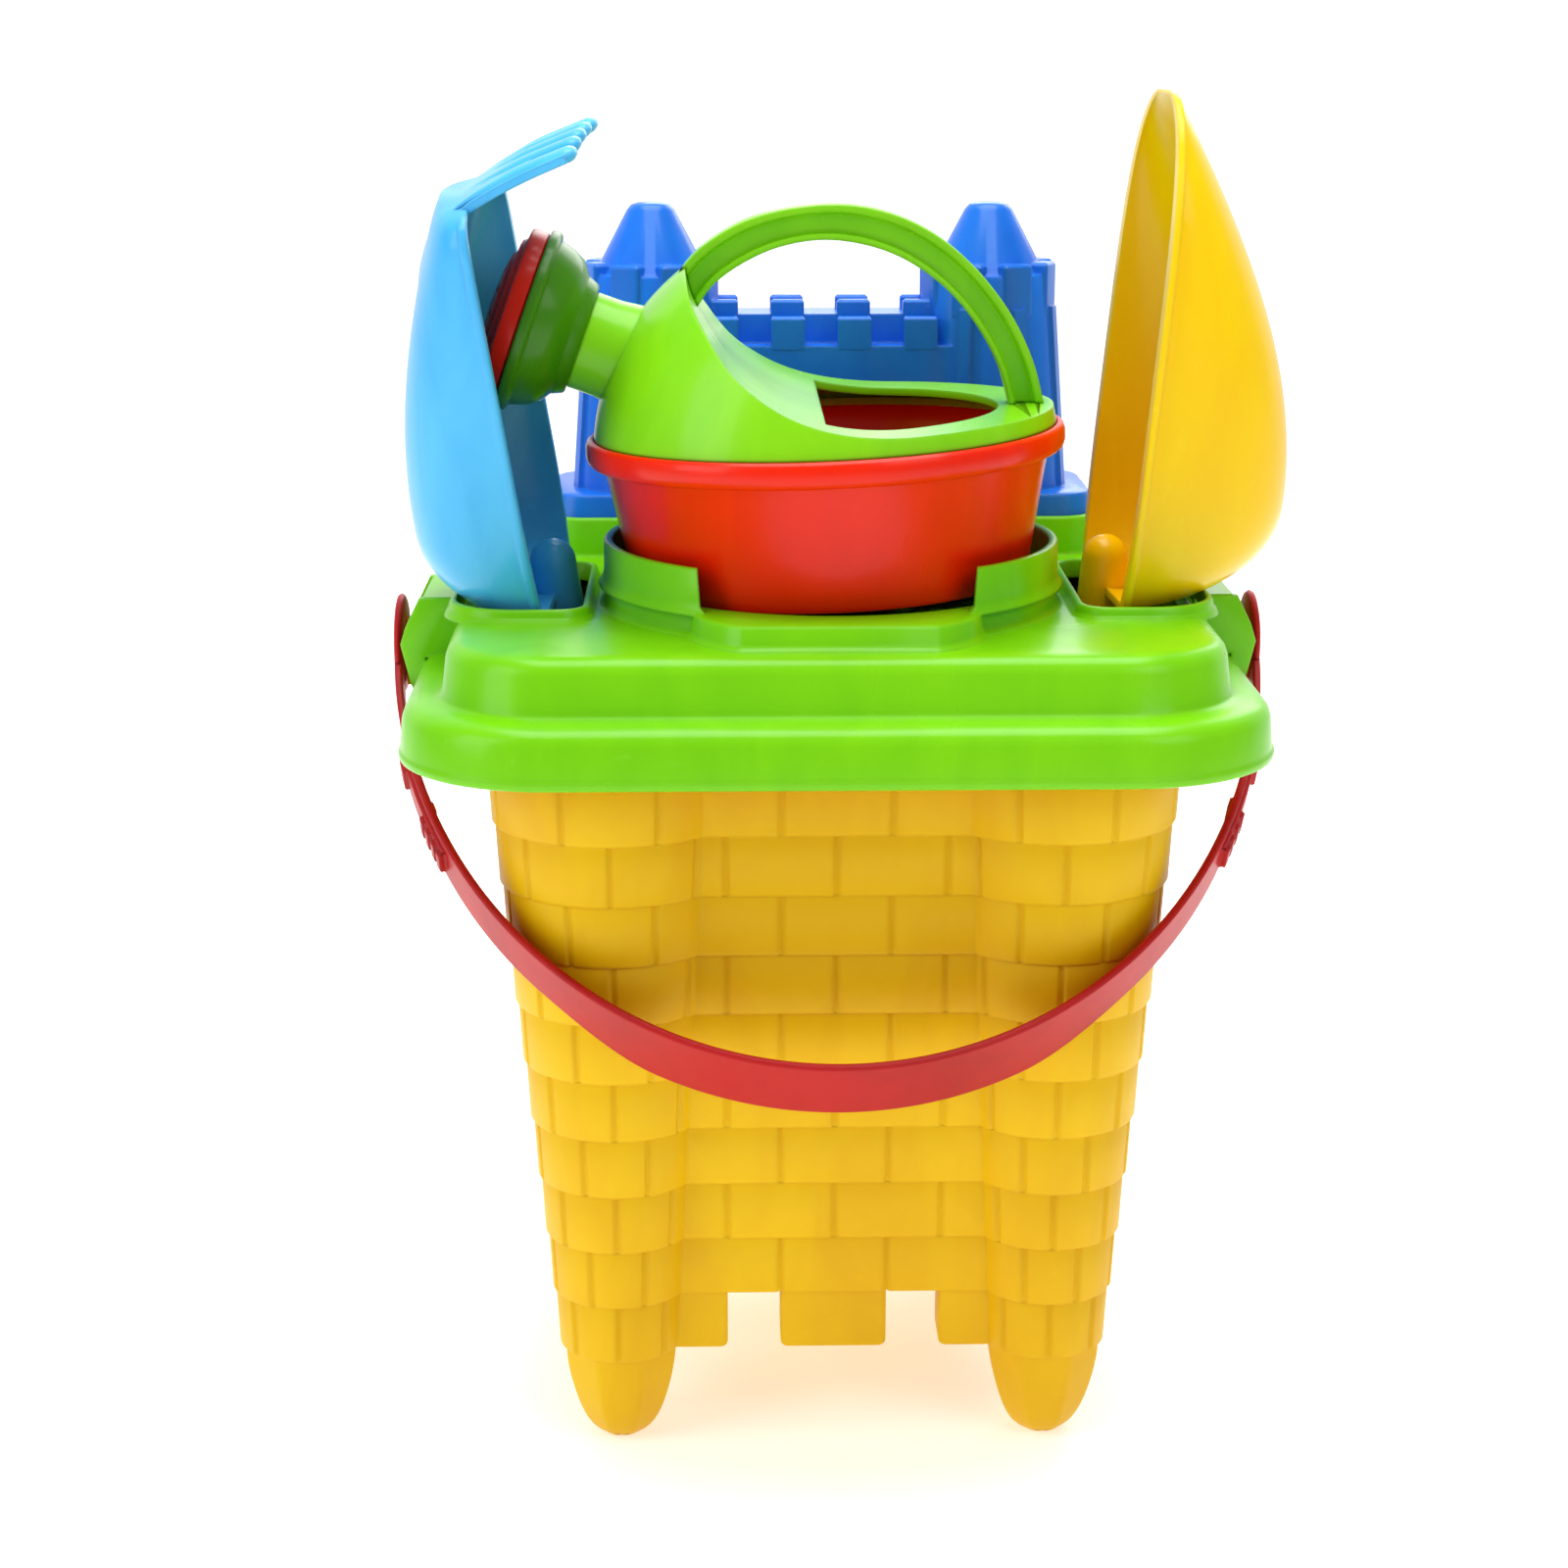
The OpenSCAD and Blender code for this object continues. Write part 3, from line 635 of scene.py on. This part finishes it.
CAN_LEAN = 2.4
BOWL_H = 38.2
BAND_R = 60.5
BAND_H = 6.5
DOME_R = 58.7
DOME_DROP = 6.5
SHELL = 1.9
SPOUT = {"rise": 22.1, "root": (-43.6, 18.2), "neck": 17.5, "r": 12.0}
BELL_LEN = 15.5
RING_R = 23.2

ON_SEAT = Matrix.Translation((0, CAN_Y, WELL_Z + 0.1 + 50 * sin(radians(CAN_LEAN)))) @ turn(-CAN_LEAN, "Y")
ON_SPOUT = ON_SEAT @ Matrix.Translation((SPOUT["root"][0], 0, BOWL_H + SPOUT["root"][1])) @ turn(SPOUT["rise"] - 90, "Y")
HOOD_CUT = smooth([(-33.5, 45), (-32.2, 36), (-28.5, 28.5), (-23, 20), (-16, 13.8), (-8, 9.2), (2, 6), (14, 4.4), (30, 4.2), (60, 4.2)], 6)
ARCH_OUTER = [(-37, 38), (-29, 46.5), (-16, 53.2), (0, 55.6), (14, 54.2), (27, 48.6), (38, 39.5), (47, 27.5), (52.5, 15.5), (55, 5), (55.4, 1)]
ARCH_INNER = [(-33, 28), (-26, 37.5), (-14, 44.3), (-2, 46.9), (9, 46.0), (20, 42.1), (29.8, 35.2), (37.5, 26.3), (43.6, 15.2), (46.4, 5), (46.8, 1)]


def can_bowl():
    return moved(turned([
        (0, 0), (48.6, 0), (49.6, 0.3), (50, 1.1), (51.2, 6), (56.1, BOWL_H - BAND_H - 0.7), (56.6, BOWL_H - BAND_H), (59.2, BOWL_H - BAND_H + 0.1),
        (60.1, BOWL_H - BAND_H + 0.9), (BAND_R, BOWL_H - BAND_H + 2.2), (BAND_R, BOWL_H - 1.8), (60.1, BOWL_H - 0.6),
        (59.3, BOWL_H), (58.6, BOWL_H), (58.4, BOWL_H - 0.4), (55.0, BOWL_H - BAND_H), (48.3, 3.2), (47, 2.1), (45, 1.9), (0, 1.9)], 128), ON_SEAT)


def hood_side(drop):
    outline = [(-70, -1)] + [(60, -1)] + [(x - drop * 0.6, z - drop) for x, z in reversed(HOOD_CUT)] + [(-70, 46 - drop)]
    return lying(plate([(x, z) for x, z in outline], -65, 65))


def dome(inset, drop):
    r = DOME_R - inset
    arc = [(r * cos(i * pi / 88), r * sin(i * pi / 88) - DOME_DROP) for i in range(-4, 44)]
    profile = [(0, arc[0][1])] + arc + [(0, r - DOME_DROP)]
    return common(turned(profile, 128), hood_side(drop))


def arch():
    """The can's handle: two flanges with a web between them, bent along its curve."""
    outer, inner = smooth(ARCH_OUTER, 6), smooth(ARCH_INNER, 6)
    half, web, inner_half = 4.5, 1.6, 4.1
    section = [(0, half - 0.5), (0.04, half), (0.2, half), (0.24, half - 0.4), (0.27, web + 0.5), (0.33, web), (0.74, web), (0.8, web + 0.4),
               (0.83, inner_half - 0.4), (0.87, inner_half), (0.97, inner_half), (1, inner_half - 0.5)]
    section = section + [(t, -y) for t, y in reversed(section)]
    rings = []
    for (ox, oz), (ix, iz) in zip(outer, inner):
        rings.append([(ox + (ix - ox) * t, -y, BOWL_H + oz + (iz - oz) * t) for t, y in section])
    return loft(list(reversed(rings)))


def can_cover():
    lift = Matrix.Translation((0, 0, BOWL_H * MM))
    base = block(80, 80, 1, [(0.1, 0), (90, 0)])
    skin = common(cut(dome(0, 0), dome(SHELL, SHELL)), base)
    skin.data.transform(lift)
    plug = turned_ring([(54, BOWL_H - 1.6), (56.4, BOWL_H - 1.6), (57.4, BOWL_H + 0.4), (54, BOWL_H + 0.4)], 128)
    room = dome(SHELL, SHELL)
    room.data.transform(lift)
    on_cover = Matrix.Translation((SPOUT["root"][0], 0, BOWL_H + SPOUT["root"][1])) @ turn(SPOUT["rise"] - 90, "Y")
    neck_top = SPOUT["neck"] + 5
    spout = moved(turned([(0, -6), (14.6, -6), (13.9, 1), (13.0, 6), (12.4, 11), (12.4, SPOUT["neck"] - 0.3), (12, SPOUT["neck"]), (12, neck_top), (0, neck_top)], 80), on_cover)
    outside = combined(skin, plug, cut(combined(spout, arch()), room))
    bore = moved(turned([(0, -9), (10.1, -9), (10.1, 40), (0, 40)], 64), on_cover)
    mouth = common(turned([(0, BOWL_H), (43.6, BOWL_H), (44.2, BOWL_H + 8), (0, BOWL_H + 8)], 128),
                   shift(block(30.5, 60, 2.5, [(BOWL_H - 1, 0), (BOWL_H + 20, 0)]), 29.5))
    outside = cut(outside, bore, mouth)
    outside.data.transform(Matrix([[v * (MM if c == 3 and r < 3 else 1) for c, v in enumerate(row)] for r, row in enumerate(ON_SEAT)]))
    return outside


def rose_bell():
    return moved(turned_ring([
        (12.05, 0), (13.6, 0), (14.2, 0.4), (14.6, 1.2), (15.4, 3.2), (17.5, 4.6), (18.8, 5.8), (20.2, 8.4), (21.0, 11), (21.4, BELL_LEN - 3.2),
        (22.6, BELL_LEN - 2.9), (RING_R, BELL_LEN - 2.2), (RING_R, BELL_LEN - 0.5), (22.8, BELL_LEN), (20, BELL_LEN), (20, BELL_LEN - 2.1),
        (18.5, BELL_LEN - 3.2), (17, 9.8), (13.8, 6), (12.05, 5.8)], 96), ON_SPOUT @ Matrix.Translation((0, 0, SPOUT["neck"])))


def rose_cap():
    cap = flip_if_needed(turned([
        (0, 6), (8, 5.2), (13.5, 3.4), (18, 1.4), (18, -2), (19.9, -2), (19.9, 0.05), (21.4, 0.05), (22, 0.6), (22, 4.0),
        (21.7, 4.6), (21.0, 4.8), (19.3, 5.0), (18.8, 5.4), (18.4, 6.1), (17.4, 6.3), (15.4, 6.5), (14.9, 6.9),
        (14.5, 7.4), (13.5, 7.6), (9, 8.4), (0, 9)], 96))
    holes = []
    for r, count in ((0, 1), (6, 6), (12, 12)):
        for i in range(count):
            a = 2 * pi * i / count
            holes.append(turned([(0, -6), (1.0, -6), (1.0, 12), (0, 12)], 16, (r * cos(a), r * sin(a))))
    thing = cut(cap, joined(holes))
    place = ON_SPOUT @ Matrix.Translation((0, 0, SPOUT["neck"] + BELL_LEN))
    place.translation = place.translation * MM
    thing.data.transform(place)
    return thing


def flip_if_needed(form):
    """Turns a form's faces outwards."""
    points, faces = form
    volume = 0.0
    for face in faces:
        a = Vector(points[face[0]])
        for i in range(1, len(face) - 1):
            volume += a.dot(Vector(points[face[i]]).cross(Vector(points[face[i + 1]])))
    return (points, faces) if volume > 0 else (points, [tuple(reversed(f)) for f in faces])


# ---- rake and shovel ----

HEEL_REACH = 0.22
GRIP_R = 6.0
GRIP_LEN = 96.0


def heel_curve(u, reach): return 1.0 if u >= reach else sqrt(max(0.0, 1 - (1 - u / reach) ** 2))


def scoop_depth(u, deep, open_angle):
    return deep * (0.08 + 0.92 * heel_curve(u, HEEL_REACH)) * cos(radians(max(0.0, u - HEEL_REACH) / (1 - HEEL_REACH) * open_angle))


def scoop_half(u, wide, heel, blunt):
    return (wide * heel + wide * (1 - heel) * heel_curve(u, 0.3)) * sqrt(max(0.0, 1 - (u * 0.995) ** blunt))


def scoop_section(half, deep, z, wall, hollow, flange, sides=36):
    """A U that opens towards +X, its rims on x = 0 with a small flange outside."""
    def arc(h, d):
        return [(-d * max(cos(a), 0.0) ** 0.9, h * (1 if a > 0 else -1) * abs(sin(a)) ** 0.9 if abs(a) > 1e-9 else 0.0)
                for a in [pi / 2 - pi * j / sides for j in range(sides + 1)]]
    flange = min(flange, half * 0.2)
    outer = arc(half, deep)
    inner = arc(max(half - wall, 0.3), max(deep - wall, 0.25) if hollow else 0.0)
    ring = [(0.0, half + flange - 0.3), (-0.35, half + flange), (-1.5, half + flange), (-1.9, half + flange - 0.4), (-2.2, half + 0.05)]
    ring += [(min(x, -2.3), y) if k in (0,) else (x, y) for k, (x, y) in enumerate(outer)][1:-1]
    ring += [(-2.2, -half - 0.05), (-1.9, -half - flange + 0.4), (-1.5, -half - flange), (-0.35, -half - flange), (0.0, -half - flange + 0.3)]
    ring += [(x, y) for x, y in reversed(inner)]
    return [(x, y, z) for x, y in ring]


def scoop(length, wide, deep, heel, open_angle, blunt, wall, flange, rings=64):
    stations = []
    for i in range(rings + 1):
        t = i / rings
        stations.append(((1 - cos(pi * t)) / 2 * 0.55 + t * 0.45) * length)
    sections = []
    for n, z in enumerate(stations):
        u = z / length
        hollow = wall < z < length - wall * 0.6
        if hollow and not sections_hollow(sections):
            sections.append((wall, False))
            sections.append((wall + 0.05, True))
        sections.append((z, hollow))
    rings_out = []
    for z, hollow in sections:
        u = z / length
        d = scoop_depth(u, deep, open_angle)
        h = scoop_half(u, wide, heel, blunt)
        rings_out.append(scoop_section(h, d, z, wall, hollow, flange))
    return flip_if_needed(loft(rings_out))


def sections_hollow(sections):
    return bool(sections) and sections[-1][1]


def grip():
    """The round handle that hangs down inside the bucket, with its root in the scoop."""
    r, low, high = GRIP_R, -GRIP_LEN, 15.0
    cap = [(r * cos(a), r * sin(a)) for a in [pi / 2 * i / 10 for i in range(11)]]
    profile = [(0, low)] + [(x, low + r - y) for x, y in reversed(cap)][1:] + [(r, high - r)] + [(x, high - r + y) for x, y in cap][1:]
    return turned(profile, 40)


def placed(at, angles):
    return Matrix.Translation(at) @ Euler([radians(a) for a in angles], "XYZ").to_matrix().to_4x4()


RAKE_PLACE = placed((-69.7, -17, 216), (7, -8.3, -5.5))
SHOVEL_PLACE = placed((70.2, -17, 216.2), (0, 5.6, 3.5)) @ Matrix.Diagonal((-1, 1, 1, 1))


def rake():
    blade = scoop(106, 33, 32.5, 0.74, 72, 40, 2, 0.9)
    path = smooth([(-19.0, 84), (-17.0, 90), (-13.4, 96.8), (-8.4, 102.4), (-1.6, 106.4), (6, 109.2), (15, 111.8), (25.3, 114.3)], 6)
    half_at = smooth([(0, 20), (0.25, 21.2), (0.5, 23.5), (0.75, 26.2), (1, 26.2)], 12)
    rings, frames = [], []
    for i, (x, z) in enumerate(path):
        t = i / (len(path) - 1)
        h = min(half_at, key=lambda p: abs(p[0] - t))[1]
        before, after = path[max(i - 1, 0)], path[min(i + 1, len(path) - 1)]
        along = Vector((after[0] - before[0], 0, after[1] - before[1])).normalized()
        up = Vector((-along.z, 0, along.x))
        frames.append((Vector((x, 0, z)), along, up))
        sag = 4.6 * (1 - t) ** 1.5 + 1.2
        across = [h * (k / 12 - 1) for k in range(25)]
        ring = [Vector((x, y, z)) + up * (1.0 - sag * (y / h) ** 2) for y in across]
        ring += [Vector((x, y, z)) + up * (-1.0 - sag * (y / h) ** 2) for y in reversed(across)]
        rings.append([tuple(p) for p in ring])
    head = flip_if_needed(loft(rings))
    slots, tines = [], []
    for n in (-1.5, -0.5, 0.5, 1.5):
        outline = [(17.5 - 2.2 * sin(a), n * 10.6 + 2.2 * cos(a)) for a in [pi * i / 10 for i in range(11)]]
        outline += [(32, n * 10.6 - 3.0), (32, n * 10.6 + 3.0)]
        slots.append(flip_if_needed(plate(outline, 95, 125)))
    for n in range(-2, 3):
        y, rings = n * 10.6, []
        for at, along, up in frames[22:]:
            t = (at.x - frames[22][0].x) / (25.3 - frames[22][0].x)
            rings.append((at, up, 1.3 + 2.6 * min(1.0, t * 2.2), 0.5 + 1.4 * min(1.0, t * 1.8)))
        at, along, up = frames[-1]
        for reach, size in ((0.9, 0.93), (1.7, 0.72), (2.3, 0.4)):
            rings.append((at + along * reach, up, 3.9 * size, 1.9 * size))
        drop = 1.2 * (n / 2.47) ** 2
        tines.append(flip_if_needed(loft([[tuple(at + Vector((0, y + wide * cos(a), 0)) + up * (thick * sin(a) - drop))
                                           for a in [pi * i / 10 for i in range(20)]] for at, up, wide, thick in rings])))
    tool = combined(blade, cut(head, *slots), *tines, grip())
    place = RAKE_PLACE.copy(); place.translation = place.translation * MM
    tool.data.transform(place)
    return tool


def shovel():
    tool = combined(scoop(127, 32, 43.3, 0.76, 88, 7, 2, 2.2), grip())
    place = SHOVEL_PLACE.copy(); place.translation = place.translation * MM
    tool.data.transform(place)
    tool.data.flip_normals()
    return tool


# ---- castle mould ----

MOULD = {"at": (0.0, 67.0, 222.1), "foot": (76.0, 24.0), "tower_x": 46.9, "h": 88.0, "tower_top": 69.0}


def mould_tower(inset):
    base = -1.0 if inset else 0.0
    top = MOULD["tower_top"]
    return turned([(0, base), (23.2 - inset, base), (18 - inset, top - inset - 1), (17.4 - inset, top - inset), (15.9 - inset, top - inset),
                   (15.2 - inset, top - inset + 0.8), (6.6 - inset, MOULD["h"] - 2 - inset), (5.4 - inset, MOULD["h"] - 0.6 - inset), (3.6 - inset, MOULD["h"] - inset), (0, MOULD["h"] - inset)], 64)


def castle_mould():
    fx, fy = MOULD["foot"]
    tx = MOULD["tower_x"]
    foot = block(fx, fy, 11, [(0, 0.4), (0.4, 0), (8.6, 0.6), (9.6, 1.0), (10, 1.8)])
    front = block(tx, 17, 1, [(1, 0), (50, 0.6)])
    back = block(tx, 9, 1, [(1, 0), (58, 0.4)])
    parts = [front, back]
    for x in (-27.45, -9.15, 9.15, 27.45):
        parts.append(shift(block(4.6, 1.8, 0.6, [(0, 0), (4.2, 0), (4.9, 0.6)]), x, -7.0, 57))
        parts.append(shift(block(4.6, 1.8, 0.6, [(0, 0), (4.2, 0), (4.9, 0.6)]), x, 7.0, 57))
        parts.append(shift(block(4.7, 2.1, 0.6, [(0, 0), (8.2, 0), (8.9, 0.6)]), x, -14.4, 49))
    for side in (-1, 1):
        parts.append(shift(mould_tower(0), side * tx))
        for j in range(8):
            a = j * pi / 4 + pi / 8
            spoke = block(4.2, 2.4, 0.6, [(57, 0.8), (58, 0), (71.2, 0), (72, 0.6)])
            spoke = moved(spoke, Matrix.Translation((side * tx, 0, 0)) @ Matrix.Rotation(a, 4, "Z") @ Matrix.Translation((0, -16.2, 0)))
            parts.append(spoke)
            rib = loft([[(x, y - 23.2 + 5.2 * z / 69, z) for x, y in ((-2.2, 1.5), (-1.8, -0.9), (1.8, -0.9), (2.2, 1.5))] for z in (6, 60)])
            rib = moved(flip_if_needed(rib), Matrix.Translation((side * tx, 0, 0)) @ Matrix.Rotation(a, 4, "Z"))
            parts.append(rib)
    body = combined(foot, *parts)
    hollow = [block(fx - 2, fy - 2, 9, [(-1, 0), (8, 0)]), block(tx, 15, 1, [(-1, 0), (47, 0)]), block(tx, 7, 1, [(-1, 0), (56, 0)])]
    hollow += [shift(mould_tower(2), side * tx) for side in (-1, 1)]
    body = cut(body, *hollow)
    body.data.transform(Matrix.Translation(Vector(MOULD["at"]) * MM))
    return body


# ---- pieces ----

YELLOW = plastic("bucket_yellow_plastic", linear(232, 188, 0), linear(218, 164, 0), rough=0.46, coat=0.0, grain=0.25, edge=0.3)
RED = plastic("strap_red_plastic", linear(182, 8, 12), linear(152, 4, 8), rough=0.42, coat=0.03, grain=0.3)
LIME = plastic("lid_green_plastic", linear(122, 206, 10), linear(102, 188, 4))
ORANGE = plastic("bowl_orange_plastic", linear(240, 36, 0), linear(218, 24, 0), coat=0.16)
COVER = plastic("cover_green_plastic", linear(134, 214, 18), linear(108, 192, 8), coat=0.16)
BELL = plastic("bell_green_plastic", linear(66, 128, 12), linear(44, 106, 6), coat=0.14)
CAP = plastic("cap_red_plastic", linear(214, 32, 4), linear(178, 18, 2), coat=0.1)
SKY = plastic("rake_blue_plastic", linear(84, 190, 244), linear(46, 160, 226), coat=0.2)
LEMON = plastic("shovel_yellow_plastic", linear(252, 212, 0), linear(246, 192, 0), coat=0.14)
BLUE = plastic("mould_blue_plastic", linear(30, 116, 224), linear(12, 88, 202), coat=0.12)

piece(bucket(), "castle_bucket", "bucket", ["bucket"], YELLOW)
piece(strap(), "carry_strap", "handle", ["handle"], RED)
piece(lid(), "sieve_lid", "lid", ["lid"], LIME)
piece(can_bowl(), "watering_can_bowl", "can", ["can_bowl"], ORANGE)
piece(can_cover(), "watering_can_cover", "can", ["can_cover"], COVER)
piece(rose_bell(), "rose_bell_shell", "rose", ["rose_bell"], BELL)
piece(rose_cap(), "rose_cap_face", "rose", ["rose_cap"], CAP)
piece(rake(), "hooked_rake", "rake", ["rake"], SKY)
piece(shovel(), "pointed_shovel", "shovel", ["shovel"], LEMON)
piece(castle_mould(), "sand_castle_mould", "mould", ["castle_mould"], BLUE)

# ---- floor, light and camera ----


def floor():
    """A pale sheet that curves up behind the object."""
    f = Finish("studio_sheet")
    place = f.node("ShaderNodeTexCoord").out("Object")
    cloud = f.node("ShaderNodeTexNoise", {}, {"Vector": place, "Scale": 4.0, "Detail": 3.0}).out(0)
    tone = f.node("ShaderNodeMix", {"data_type": "RGBA"}, {0: cloud, 6: (0.93, 0.93, 0.93, 1), 7: (0.97, 0.97, 0.97, 1)}).out(2)
    f.shade(Base_Color=tone, Roughness=0.75, Emission_Color=(1, 1, 1, 1), Emission_Strength=0.42)
    path = [(-4, 0), (1.2, 0)] + [(1.2 + 0.9 * sin(a), 0.9 - 0.9 * cos(a)) for a in [pi / 2 * i / 12 for i in range(1, 13)]] + [(2.1, 4)]
    points = [(x, y, z) for y, z in path for x in (-4, 4)]
    mesh = bpy.data.meshes.new("studio_floor")
    mesh.from_pydata(points, [], [(2 * i, 2 * i + 1, 2 * i + 3, 2 * i + 2) for i in range(len(path) - 1)])
    mesh.polygons.foreach_set("use_smooth", [True] * len(mesh.polygons))
    mesh.materials.append(f.material)
    sheet = bpy.data.objects.new("studio_floor", mesh)
    bpy.context.scene.collection.objects.link(sheet)


def soft_box(name, at, target, size, power, tint=(1, 1, 1)):
    light = bpy.data.lights.new(name, "AREA")
    light.shape, light.size, light.size_y = "RECTANGLE", size[0], size[1]
    light.energy, light.color = power, tint
    lamp = bpy.data.objects.new(name, light)
    lamp.location = at
    lamp.rotation_euler = (Vector(target) - Vector(at)).to_track_quat("-Z", "Y").to_euler()
    bpy.context.scene.collection.objects.link(lamp)


floor()
soft_box("key_box", (0.75, -0.95, 0.95), (0, 0, 0.16), (0.7, 0.7), 3.5)
soft_box("left_box", (-1.0, -0.55, 0.7), (0, 0, 0.18), (0.6, 0.9), 5)
soft_box("top_box", (0.0, 0.0, 1.3), (0, 0, 0.1), (0.9, 0.9), 15)
soft_box("back_box", (0.3, 1.0, 0.8), (0, 0, 0.2), (0.9, 0.6), 4.5)

world = bpy.data.worlds.new("studio_air")
world.use_nodes = True
world.node_tree.nodes["Background"].inputs["Color"].default_value = (1, 1, 1, 1)
world.node_tree.nodes["Background"].inputs["Strength"].default_value = 0.28
bpy.context.scene.world = world
bpy.context.scene.view_settings.view_transform = "Standard"

lens = bpy.data.cameras.new("product_camera")
lens.lens, lens.sensor_width, lens.clip_start = 68.286, 36, 0.01
camera = bpy.data.objects.new("product_camera", lens)
camera.location = (-0.02824, -0.77159, 0.36181)
camera.rotation_euler = Vector((0.02114, 0.96748, -0.25207)).to_track_quat("-Z", "Y").to_euler()
bpy.context.scene.collection.objects.link(camera)
bpy.context.scene.camera = camera
